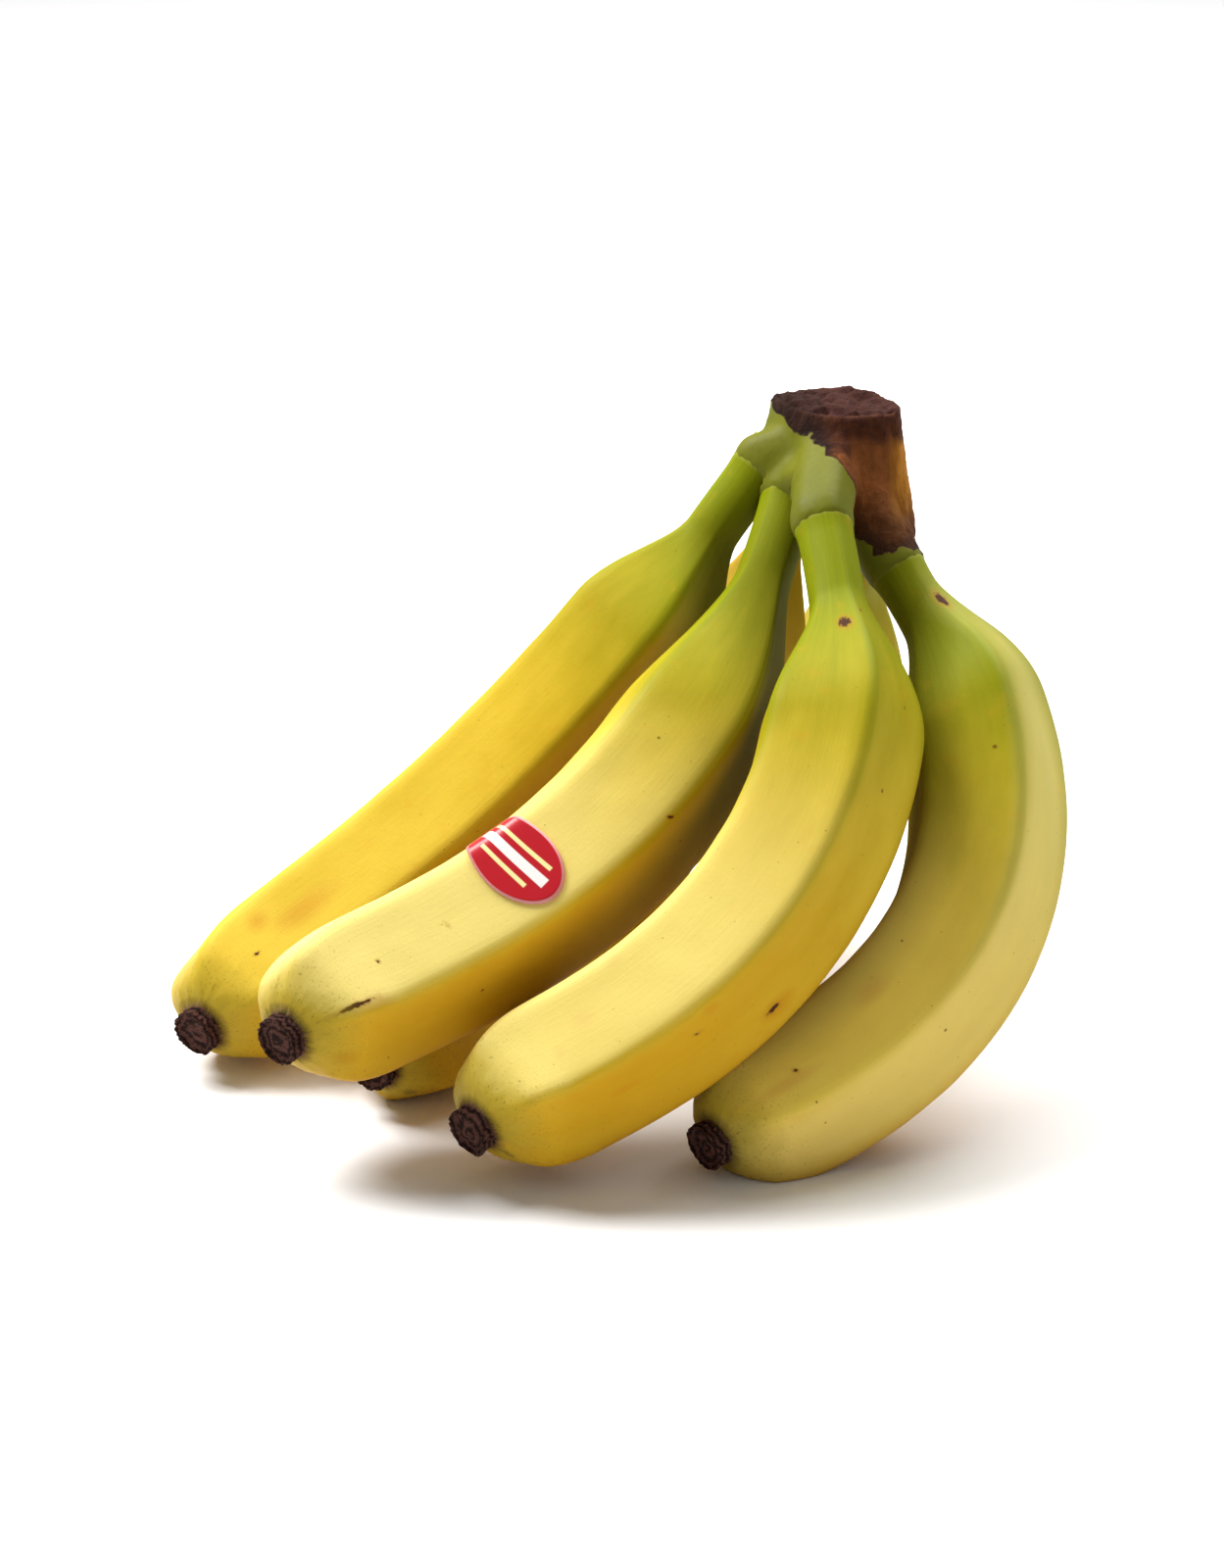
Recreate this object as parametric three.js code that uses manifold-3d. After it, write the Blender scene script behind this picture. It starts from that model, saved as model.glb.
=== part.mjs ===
// A bunch of six ripe dessert bananas, lying on its bellies and tips with the cut crown up.
// Millimetres, +Z up, the tips point towards -Y and -X. The table is the plane z = 0.
import * as THREE from 'three';
import { mergeVertices } from 'three/addons/utils/BufferGeometryUtils.js';
import Module from 'manifold-3d';

const wasm = await Module();
wasm.setup();

const FULL_TURN = 2 * Math.PI;
const deg = THREE.MathUtils.degToRad;
const vec = ([x, y, z]) => new THREE.Vector3(x, y, z);
const smooth = (x) => THREE.MathUtils.smoothstep(x, 0, 1);

// The bunch is laid out around its tallest stem's foot, then moved so that its box is centred.
const BUNCH_SHIFT = [0, 11.4, 0];

// Fruit, measured from its collar (0) along the centre line to the end of the dry flower remnant.
const COLLAR_RADIUS = 6.8;
const COLLAR_FADE = 8;
const NECK_RADIUS = 6.2;
const SHOULDER_SOFTNESS = 0.85;
const BARREL = 0.05; // how much thinner the body is at its two ends than at its middle
const TAPER_LENGTH = 24;
const TAPER_BLUNTNESS = 2.6;
const REMNANT_LENGTH = 4;
const REMNANT_RADIUS = 5.2;
const THICKEST_AT = 0.55; // share of the length
const EVEN_BEND = 0.4; // share of the bend that is even, the rest is between the next two places
const BEND_START = 0.08;
const BEND_END = 0.92;
const HOOK_START = 0.8; // from this share of the length the tip also turns away from the bunch
const HOOK_TOWARDS = [-0.2, -1, 0];
const SIDES = 20;
const STATIONS = 26;
const END_CROWDING = 0.035; // stations lie closer together at the two ends
const STUB_LENGTH = 10; // how much of each neck belongs to the crown
const SEAM_GAP = 0.3; // between that stub and the rest of the fruit
const LINE_STEPS = 120;

// Section: five flat faces with round edges. Each number is a face's distance from the centre line.
const FACES = [1.0, 0.96, 1.03, 0.98, 1.02];
const EDGE_SHARPNESS = 9;
const MEAN_REACH = 1.045;

// seat: the collar's centre. start: the way the fruit leaves the crown. towards: the way it bends.
// bend: the whole turn in degrees. neck: the thin stem's length. shoulder: how far the fruit then
// takes to fill out. lead: how much sooner its outer side does so than its inner one. radius: at the
// thickest place. roll: turn of the five faces. hook: how strongly the tip turns away at its end.
const FRUITS = {
  banana_1: {
    seat: [35.2, 32.6, 127.6], start: [-0.585, -0.223, -0.78], towards: [-0.848, -0.347, -0.4],
    bend: 23, length: 190, neck: 22, shoulder: 29, lead: 2, radius: 16.4, roll: -34, hook: 1.2,
  },
  banana_2: {
    seat: [40.7, 27.2, 121.5], start: [-0.249, -0.737, -0.629], towards: [-0.714, -0.502, -0.488],
    bend: 55, length: 187, neck: 24, shoulder: 46, lead: 0, radius: 16.9, roll: -28, hook: 1.2,
  },
  banana_3: {
    seat: [46.3, 5.4, 122.5], start: [0.168, -0.786, -0.594], towards: [-0.617, -0.397, -0.68],
    bend: 88, length: 181, neck: 24, shoulder: 34, lead: 2, radius: 17, roll: -27, hook: 1.1,
  },
  banana_4: {
    seat: [62.7, 14.6, 108.8], start: [0.502, -0.578, -0.643], towards: [-0.705, -0.45, -0.549],
    bend: 98, length: 170, neck: 18, shoulder: 30, lead: 9, radius: 16.4, roll: -6, hook: 0.6,
  },
  banana_5: {
    seat: [41.8, 47.4, 112], start: [-0.33, -0.16, -0.93], towards: [-0.61, -0.65, -0.46],
    bend: 68, length: 184, neck: 12, shoulder: 26, lead: 2, radius: 15, roll: 0, hook: 0.3,
  },
  banana_6: {
    seat: [57, 44, 106], start: [-0.03, 0.36, -0.93], towards: [-0.41, -0.9, -0.15],
    bend: 110, length: 150, neck: 17, shoulder: 34, lead: 5, radius: 15.2, roll: 0, hook: 0,
  },
};

// The centre line turns in one plane. It gives the centre and the two directions across the fruit.
function centreLine(fruit) {
  const start = vec(fruit.start).normalize();
  const axis = vec(fruit.start).cross(vec(fruit.towards)).normalize();
  const side = axis.clone().cross(start);
  const heading = (t) => {
    const uneven = smooth((t - BEND_START) / (BEND_END - BEND_START));
    const turned = deg(fruit.bend) * THREE.MathUtils.lerp(uneven, t, EVEN_BEND);
    const hook = fruit.hook * smooth((t - HOOK_START) / (1 - HOOK_START));
    return start.clone().multiplyScalar(Math.cos(turned)).addScaledVector(side, Math.sin(turned))
      .addScaledVector(vec(HOOK_TOWARDS), hook).normalize();
  };
  const points = [vec(fruit.seat)];
  for (let i = 0; i < LINE_STEPS; i += 1) {
    const step = heading((i + 0.5) / LINE_STEPS).multiplyScalar(fruit.length / LINE_STEPS);
    points.push(points[i].clone().add(step));
  }
  return (s) => {
    const place = THREE.MathUtils.clamp(s / fruit.length, 0, 1) * LINE_STEPS;
    const i = Math.min(Math.floor(place), LINE_STEPS - 1);
    const centre = points[i].clone().lerp(points[i + 1], place - i);
    const along = heading(s / fruit.length);
    const across = axis.clone().addScaledVector(along, -axis.dot(along)).normalize();
    return { centre, inner: across.clone().cross(along), across };
  };
}

// Collar, thin neck, shoulder, full body, blunt taper and dry remnant.
// Angle 0 is the inner side of the bend.
function radiusAt(fruit, s, angle) {
  const fromMiddle = (s / fruit.length - THICKEST_AT) / (1 - THICKEST_AT);
  const full = fruit.radius * (1 - BARREL * fromMiddle ** 2);
  const neck = THREE.MathUtils.lerp(COLLAR_RADIUS, NECK_RADIUS, smooth(s / COLLAR_FADE));
  const shoulderStart = fruit.neck - (fruit.lead * (1 - Math.cos(angle))) / 2;
  const climb = Math.max(0, (s - shoulderStart) / fruit.shoulder) ** SHOULDER_SOFTNESS;
  const body = THREE.MathUtils.lerp(neck, full, smooth(climb));
  const left = (fruit.length - REMNANT_LENGTH - s) / TAPER_LENGTH;
  const taper = Math.sqrt(1 - (1 - THREE.MathUtils.clamp(left, 0, 1)) ** TAPER_BLUNTNESS);
  return THREE.MathUtils.lerp(REMNANT_RADIUS, body, taper);
}

// How far the five-sided section reaches at an angle, as a share of the radius.
function sectionReach(angle) {
  const sum = FACES.reduce((total, distance, i) => {
    const facing = Math.max(0, Math.cos(angle - (i * FULL_TURN) / FACES.length));
    return total + (facing / distance) ** EDGE_SHARPNESS;
  }, 0);
  return sum ** (-1 / EDGE_SHARPNESS) / MEAN_REACH;
}

function surfacePoint(fruit, line, s, angle, lift = 0) {
  const { centre, inner, across } = line(s);
  const reach = radiusAt(fruit, s, angle) * sectionReach(angle - deg(fruit.roll)) + lift;
  return centre
    .addScaledVector(inner, reach * Math.cos(angle))
    .addScaledVector(across, reach * Math.sin(angle));
}

const MERGE_DISTANCE = 1e-4;

// Joins the points that lie together and leaves out the triangles that have no area.
function closedGeometry(geometry) {
  geometry.deleteAttribute('normal');
  geometry.deleteAttribute('uv');
  const merged = mergeVertices(geometry, MERGE_DISTANCE);
  const corners = [];
  for (let i = 0; i < merged.index.count; i += 3) {
    const [a, b, c] = [0, 1, 2].map((k) => merged.index.getX(i + k));
    if (a !== b && b !== c && c !== a) corners.push(a, b, c);
  }
  merged.setIndex(corners);
  return merged;
}

function toSolid(geometry) {
  const mesh = new wasm.Mesh({
    numProp: 3,
    vertProperties: new Float32Array(geometry.attributes.position.array),
    triVerts: new Uint32Array(geometry.index.array),
  });
  return new wasm.Manifold(mesh);
}

function toGeometry(solid) {
  const { vertProperties, triVerts } = solid.getMesh();
  const geometry = new THREE.BufferGeometry();
  geometry.setAttribute('position', new THREE.BufferAttribute(new Float32Array(vertProperties), 3));
  geometry.setIndex(new THREE.BufferAttribute(new Uint32Array(triVerts), 1));
  return geometry;
}

// Moves every point of a geometry to the place that `place` gives for it.
function movePoints(geometry, place) {
  const position = geometry.attributes.position;
  const point = new THREE.Vector3();
  for (let i = 0; i < position.count; i += 1) {
    point.fromBufferAttribute(position, i);
    const moved = place(point);
    position.setXYZ(i, moved.x, moved.y, moved.z);
  }
  return geometry;
}

// The straight lathed shapes have a radius of 1, so their points are on the axis or well off it.
const isOnAxis = (x, z) => Math.hypot(x, z) < 1 / 2;

// A straight lathed fruit whose points are then moved onto the bent five-sided surface.
function fruitGeometry(fruit) {
  const line = centreLine(fruit);
  const first = STUB_LENGTH + SEAM_GAP;
  const profile = [new THREE.Vector2(0, first)];
  for (let i = 0; i <= STATIONS; i += 1) {
    const t = i / STATIONS + END_CROWDING * -Math.sin((FULL_TURN * i) / STATIONS);
    profile.push(new THREE.Vector2(1, THREE.MathUtils.lerp(first, fruit.length, t)));
  }
  profile.push(new THREE.Vector2(0, fruit.length));
  const straight = closedGeometry(new THREE.LatheGeometry(profile, SIDES));
  return movePoints(straight, ({ x, y, z }) => {
    if (isOnAxis(x, z)) return line(y).centre;
    return surfacePoint(fruit, line, y, Math.atan2(x, z));
  });
}

// Crown: a stump with a cut top, wider and lower to the right, and a stub under it for each fruit.
const STUMP_TOP = [51, 33, 141.5]; // centre of the cut
const STUMP_OUTLINE = [[-15, 5], [-9, -6], [0, -11], [9, -10], [14, -6], [11, 4], [4, 11], [-7, 10]];
const OUTLINE_STEPS = 3; // points of the smooth outline for each one above
const STUMP_STEPS = 6;
const STUMP_DEPTH_LEFT = 14;
const STUMP_DEPTH_RIGHT = 32;
const STUMP_SPREAD = 1.2; // how much wider the foot is than the cut top
const STUMP_DRIFT = [1, -4]; // how far the foot's centre is from under the top's centre
const STUMP_HEART = [50, 31, 133]; // all the stubs run to this place inside the stump
const STUB_ROOT_RADIUS = 7.4;
const STUB_STEPS = 3;

function stumpGeometry() {
  const outline = new THREE.SplineCurve(STUMP_OUTLINE.concat([STUMP_OUTLINE[0]])
    .map(([x, y]) => new THREE.Vector2(x, y)));
  const shape = new THREE.Shape(outline.getPoints(STUMP_OUTLINE.length * OUTLINE_STEPS).slice(0, -1));
  const block = new THREE.ExtrudeGeometry(shape, {
    depth: 1, steps: STUMP_STEPS, bevelEnabled: false,
  });
  const across = STUMP_OUTLINE.map(([x]) => x);
  const [left, right] = [Math.min(...across), Math.max(...across)];
  return movePoints(closedGeometry(block), ({ x, y, z }) => {
    const below = 1 - z;
    const toRight = THREE.MathUtils.clamp((x - left) / (right - left), 0, 1);
    const depth = THREE.MathUtils.lerp(STUMP_DEPTH_LEFT, STUMP_DEPTH_RIGHT, toRight);
    const spread = THREE.MathUtils.lerp(1, STUMP_SPREAD, smooth(below));
    return new THREE.Vector3(
      x * spread + STUMP_DRIFT[0] * below,
      y * spread + STUMP_DRIFT[1] * below,
      -depth * below,
    ).add(vec(STUMP_TOP));
  });
}

// The top of a fruit's neck, bent and five-sided as the fruit is, with a root inside the stump.
function stubGeometry(fruit) {
  const line = centreLine(fruit);
  const profile = [new THREE.Vector2(0, -1)];
  for (let i = 0; i <= STUB_STEPS; i += 1) {
    profile.push(new THREE.Vector2(1, -1 + i / STUB_STEPS));
  }
  profile.push(new THREE.Vector2(1, STUB_LENGTH / 2), new THREE.Vector2(1, STUB_LENGTH));
  profile.push(new THREE.Vector2(0, STUB_LENGTH));
  const toHeart = vec(STUMP_HEART).sub(vec(fruit.seat));
  return movePoints(closedGeometry(new THREE.LatheGeometry(profile, SIDES)), ({ x, y, z }) => {
    const rooted = Math.max(-y, 0);
    const s = Math.max(y, 0);
    const wider = (STUB_ROOT_RADIUS - COLLAR_RADIUS) * rooted;
    const point = isOnAxis(x, z)
      ? line(s).centre
      : surfacePoint(fruit, line, s, Math.atan2(x, z), wider);
    return point.addScaledVector(toHeart, rooted);
  });
}

// What lies below the table top is cut away, which leaves the small flats that the bunch rests on.
const TABLE_SIZE = 400;
const TABLE_DEPTH = 40;

function aboveTable(geometry) {
  const table = new THREE.BoxGeometry(TABLE_SIZE, TABLE_SIZE, TABLE_DEPTH);
  table.translate(0, 0, -TABLE_DEPTH / 2);
  return toGeometry(toSolid(geometry).subtract(toSolid(closedGeometry(table))));
}

// Sticker: a thin oval that follows the skin of one fruit. `along` and `around` place its middle.
const STICKER = {
  fruit: 'banana_2', along: 121, around: -86, halfLength: 12, halfWidth: 8.3, turn: 80,
};
const STICKER_GAP = 0.6;
const STICKER_THICKNESS = 0.3;
const STICKER_SIDES = 36;
const STICKER_RINGS = 3;

function stickerGeometry() {
  const fruit = FRUITS[STICKER.fruit];
  const line = centreLine(fruit);
  const profile = [];
  for (let i = 0; i <= STICKER_RINGS; i += 1) profile.push(new THREE.Vector2(i / STICKER_RINGS, 0));
  for (let i = STICKER_RINGS; i >= 0; i -= 1) profile.push(new THREE.Vector2(i / STICKER_RINGS, 1));
  const disc = closedGeometry(new THREE.LatheGeometry(profile, STICKER_SIDES));
  const turn = deg(STICKER.turn);
  return movePoints(disc, ({ x, y, z }) => {
    const [long, short] = [x * STICKER.halfLength, z * STICKER.halfWidth];
    const s = STICKER.along + long * Math.cos(turn) - short * Math.sin(turn);
    const arc = long * Math.sin(turn) + short * Math.cos(turn);
    const lift = STICKER_GAP + y * STICKER_THICKNESS;
    return surfacePoint(fruit, line, s, deg(STICKER.around) + arc / fruit.radius, lift);
  });
}

const bunch = new THREE.Group();
bunch.position.set(...BUNCH_SHIFT);

const skin = { color: '#d9cc3c', roughness: 0.5, metalness: 0 };
for (const [name, fruit] of Object.entries(FRUITS)) {
  const banana = new THREE.Mesh(aboveTable(fruitGeometry(fruit)), new THREE.MeshStandardMaterial(skin));
  banana.name = name;
  bunch.add(banana);
}

const stubs = Object.values(FRUITS).map((fruit) => toSolid(stubGeometry(fruit)));
const crownSolid = stubs.reduce((crown, stub) => crown.add(stub), toSolid(stumpGeometry()));
const crown = new THREE.Mesh(
  toGeometry(crownSolid),
  new THREE.MeshStandardMaterial({ color: '#8b7a35', roughness: 0.8, metalness: 0 }),
);
crown.name = 'crown';
bunch.add(crown);

const sticker = new THREE.Mesh(
  stickerGeometry(),
  new THREE.MeshStandardMaterial({ color: '#c00d20', roughness: 0.35, metalness: 0 }),
);
sticker.name = 'sticker';
bunch.add(sticker);

export default bunch;
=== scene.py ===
"""The looks of a cut bunch of six ripe bananas: skins, crown and sticker, on a pale studio floor."""

import math

import bmesh
import bpy
import numpy as np
from mathutils import Matrix, Vector, noise


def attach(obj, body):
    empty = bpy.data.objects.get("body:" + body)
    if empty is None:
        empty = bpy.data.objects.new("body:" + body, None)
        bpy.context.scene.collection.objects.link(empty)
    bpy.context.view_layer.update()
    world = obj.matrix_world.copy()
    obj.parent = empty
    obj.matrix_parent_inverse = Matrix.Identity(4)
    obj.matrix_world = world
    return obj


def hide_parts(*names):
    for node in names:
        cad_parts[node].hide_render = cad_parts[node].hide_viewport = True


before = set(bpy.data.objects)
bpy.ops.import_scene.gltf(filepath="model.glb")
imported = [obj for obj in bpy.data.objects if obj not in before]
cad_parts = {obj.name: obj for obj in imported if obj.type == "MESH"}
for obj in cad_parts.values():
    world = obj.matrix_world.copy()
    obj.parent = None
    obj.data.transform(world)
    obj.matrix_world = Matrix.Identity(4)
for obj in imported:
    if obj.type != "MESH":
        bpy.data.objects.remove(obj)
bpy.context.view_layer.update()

MM = 0.001
FULL_TURN = 2 * math.pi

# The fruits' sizes, the same as the solids': places and lengths in millimetres, turns in degrees
BUNCH_SHIFT = np.array([0.0, 11.4, 0.0])
FRUITS = {
    "banana_1": dict(
        seat=(35.2, 32.6, 127.6), start=(-0.585, -0.223, -0.78), towards=(-0.848, -0.347, -0.4),
        bend=23, length=190, neck=22, shoulder=29, lead=2, radius=16.4, roll=-34, hook=1.2),
    "banana_2": dict(
        seat=(40.7, 27.2, 121.5), start=(-0.249, -0.737, -0.629), towards=(-0.714, -0.502, -0.488),
        bend=55, length=187, neck=24, shoulder=46, lead=0, radius=16.9, roll=-28, hook=1.2),
    "banana_3": dict(
        seat=(46.3, 5.4, 122.5), start=(0.168, -0.786, -0.594), towards=(-0.617, -0.397, -0.68),
        bend=88, length=181, neck=24, shoulder=34, lead=2, radius=17, roll=-27, hook=1.1),
    "banana_4": dict(
        seat=(62.7, 14.6, 108.8), start=(0.502, -0.578, -0.643), towards=(-0.705, -0.45, -0.549),
        bend=98, length=170, neck=18, shoulder=30, lead=9, radius=16.4, roll=-6, hook=0.6),
    "banana_5": dict(
        seat=(41.8, 47.4, 112), start=(-0.33, -0.16, -0.93), towards=(-0.61, -0.65, -0.46),
        bend=68, length=184, neck=12, shoulder=26, lead=2, radius=15, roll=0, hook=0.3),
    "banana_6": dict(
        seat=(57, 44, 106), start=(-0.03, 0.36, -0.93), towards=(-0.41, -0.9, -0.15),
        bend=110, length=150, neck=17, shoulder=34, lead=5, radius=15.2, roll=0, hook=0),
}
COLLAR_RADIUS = 6.8
COLLAR_FADE = 8.0
NECK_RADIUS = 6.2
SHOULDER_SOFTNESS = 0.85
BARREL = 0.05
TAPER_LENGTH = 24.0
TAPER_BLUNTNESS = 2.6
REMNANT_LENGTH = 4.0
REMNANT_RADIUS = 5.2
EVEN_BEND = 0.4
FACES = (1.0, 0.96, 1.03, 0.98, 1.02)
HOOK_START = 0.8
HOOK_TOWARDS = np.array([-0.2, -1.0, 0.0])
EDGE_SHARPNESS = 18.0
MEAN_REACH = 1.045
BEND_START, BEND_END = 0.08, 0.92  # shares of the length
THICKEST_AT = 0.55


def smooth(x):
    x = np.clip(x, 0.0, 1.0)
    return x * x * (3 - 2 * x)


def fade(value, start, width):
    """0 up to the start, then a soft climb to 1 over that width."""
    return smooth((value - start) / width)


def unit(v):
    return np.asarray(v, float) / np.linalg.norm(v)


class Fruit:
    """The bent centre line and the five-sided section of one fruit. Places are in millimetres."""

    STEPS = 600

    def __init__(self, seat, start, towards, bend, length, neck, shoulder, lead, radius, roll, hook):
        self.bend, self.length, self.neck, self.shoulder = bend, length, neck, shoulder
        self.lead, self.radius, self.roll, self.hook = lead, radius, math.radians(roll), hook
        self.start = unit(start)
        self.axis = unit(np.cross(start, towards))
        self.side = np.cross(self.axis, self.start)
        middles = (np.arange(self.STEPS) + 0.5) / self.STEPS
        steps = self.heading(middles) * length / self.STEPS
        self.points = np.vstack([seat, seat + np.cumsum(steps, axis=0)])

    def heading(self, t):
        """The way the centre line goes, at a share t of the length."""
        uneven = fade(t, BEND_START, BEND_END - BEND_START)
        turned = math.radians(self.bend) * ((1 - EVEN_BEND) * uneven + EVEN_BEND * t)
        hook = self.hook * fade(t, HOOK_START, 1 - HOOK_START)
        way = (self.start * np.cos(turned)[..., None] + self.side * np.sin(turned)[..., None]
               + HOOK_TOWARDS * np.asarray(hook)[..., None])
        return way / np.linalg.norm(way, axis=-1, keepdims=True)

    def centre(self, s):
        place = np.clip(s / self.length, 0, 1) * self.STEPS
        stations = np.arange(self.STEPS + 1)
        base = np.stack([np.interp(place, stations, column) for column in self.points.T], -1)
        ends = np.clip(s / self.length, 0, 1)
        beyond = s - ends * self.length
        return base + self.heading(ends) * beyond[..., None]

    def radius_at(self, s, angle):
        from_thickest = (s / self.length - THICKEST_AT) / (1 - THICKEST_AT)
        full = self.radius * (1 - BARREL * from_thickest ** 2)
        neck = COLLAR_RADIUS + (NECK_RADIUS - COLLAR_RADIUS) * smooth(s / COLLAR_FADE)
        begin = self.neck - self.lead * (1 - np.cos(angle)) / 2
        climb = np.maximum(0, (s - begin) / self.shoulder) ** SHOULDER_SOFTNESS
        body = neck + (full - neck) * smooth(climb)
        left = np.clip((self.length - REMNANT_LENGTH - s) / TAPER_LENGTH, 0, 1)
        taper = np.sqrt(1 - (1 - left) ** TAPER_BLUNTNESS)
        return REMNANT_RADIUS + (body - REMNANT_RADIUS) * taper

    def reach(self, angle):
        """How far out the five-sided section goes at an angle, as a share of its radius."""
        total = 0
        for i, distance in enumerate(FACES):
            facing = np.maximum(0, np.cos(angle - self.roll - i * FULL_TURN / len(FACES)))
            total = total + (facing / distance) ** EDGE_SHARPNESS
        return total ** (-1 / EDGE_SHARPNESS) / MEAN_REACH

    def from_ridge(self, angle):
        """The angle to the nearest of the five ridges."""
        fifth = FULL_TURN / len(FACES)
        return np.abs((angle - self.roll) % fifth - fifth / 2)

    def place(self, s, angle, reach):
        """The point at s along the fruit, at that angle and that far from the centre line."""
        along = self.heading(np.clip(s / self.length, 0, 1))
        across = self.axis - along * (along @ self.axis)[..., None]
        across /= np.linalg.norm(across, axis=-1, keepdims=True)
        inner = np.cross(across, along)
        out = across * np.sin(angle)[..., None] + inner * np.cos(angle)[..., None]
        return self.centre(s) + out * reach[..., None]


fruits = {name: Fruit(**sizes) for name, sizes in FRUITS.items()}


HALF_ROW = 0.5
WELD_ROWS = 1e-5


def lathe(rows, sides):
    """A closed tube of that many rows, its two ends drawn in to points. A vertex's z is its row."""
    bm = bmesh.new()
    line = bm.edges.new([bm.verts.new((1, 0, 0)), bm.verts.new((1, 0, rows))])
    bmesh.ops.subdivide_edges(bm, edges=[line], cuts=rows - 1)
    bmesh.ops.spin(bm, geom=bm.verts[:] + bm.edges[:], axis=(0, 0, 1), cent=(0, 0, 0),
                   angle=FULL_TURN, steps=sides, use_merge=True)
    for vert in bm.verts:
        if vert.co.z < HALF_ROW or vert.co.z > rows - HALF_ROW:
            vert.co.x = vert.co.y = 0
    bmesh.ops.remove_doubles(bm, verts=bm.verts[:], dist=WELD_ROWS)
    bmesh.ops.recalc_face_normals(bm, faces=bm.faces[:])
    return bm


def smooth_shaded(mesh):
    mesh.polygons.foreach_set("use_smooth", [True] * len(mesh.polygons))


def finished(name, bm, material, node):
    """A smooth piece of that material, which rides on the bunch and stands for a node."""
    mesh = bpy.data.meshes.new(name)
    bm.to_mesh(mesh)
    bm.free()
    piece = bpy.data.objects.new(name, mesh)
    bpy.context.collection.objects.link(piece)
    mesh.materials.append(material)
    smooth_shaded(mesh)
    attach(piece, "root")
    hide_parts(node)
    return piece


def points_of(mesh):
    points = np.empty(len(mesh.vertices) * 3)
    mesh.vertices.foreach_get("co", points)
    return points.reshape(-1, 3)


def normals_of(mesh):
    normals = np.empty(len(mesh.vertices) * 3)
    mesh.vertices.foreach_get("normal", normals)
    return normals.reshape(-1, 3)


def set_points(mesh, points):
    mesh.vertices.foreach_set("co", points.ravel())
    mesh.update()


def store(mesh, name, values):
    """Keeps a number or a vector for each vertex, for the materials to read."""
    values = np.asarray(values, float)
    kind, key = ("FLOAT_VECTOR", "vector") if values.ndim == 2 else ("FLOAT", "value")
    mesh.attributes.new(name, kind, "POINT").data.foreach_set(key, values.ravel())


NOISE_STRIDE = (17.3, 5.1, 9.7)  # from one seed's noise to the next one's


def lumps(points, size, seed):
    """Soft noise from -1 to 1 at each point, with bumps of that size in millimetres."""
    offset = Vector([seed * stride for stride in NOISE_STRIDE])
    return np.array([noise.noise(Vector(p) / size + offset) for p in points])


def colour(code):
    """A linear colour from an sRGB hex code."""
    parts = [int(code[i:i + 2], 16) / 255 for i in (1, 3, 5)]
    return tuple(p / 12.92 if p <= 0.04045 else ((p + 0.055) / 1.055) ** 2.4 for p in parts) + (1.0,)


def add(material, kind, sockets=None, out=None, **settings):
    """Adds a node with its settings, its input values and its links, and gives its output."""
    tree = material.node_tree
    node = tree.nodes.new("ShaderNode" + kind)
    for key, value in settings.items():
        setattr(node, key, value)
    for key, value in (sockets or {}).items():
        socket = node.inputs[key] if isinstance(key, int) else next(
            s for s in node.inputs if s.enabled and s.name == key)
        if isinstance(value, bpy.types.NodeSocket):
            tree.links.new(value, socket)
        else:
            socket.default_value = value
    return node.outputs[out] if out else next((o for o in node.outputs if o.enabled), None)


def new_material(name):
    material = bpy.data.materials.new(name)
    material.use_nodes = True
    material.node_tree.nodes.clear()
    return material


# What each vertex of a skin carries: places along it in metres, and strengths from 0 to 1
SKIN_NUMBERS = ("along", "to_tip", "ridge", "scar", "rust", "green", "unripe", "olive", "amber_and_under_shade", "pale")


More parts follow.
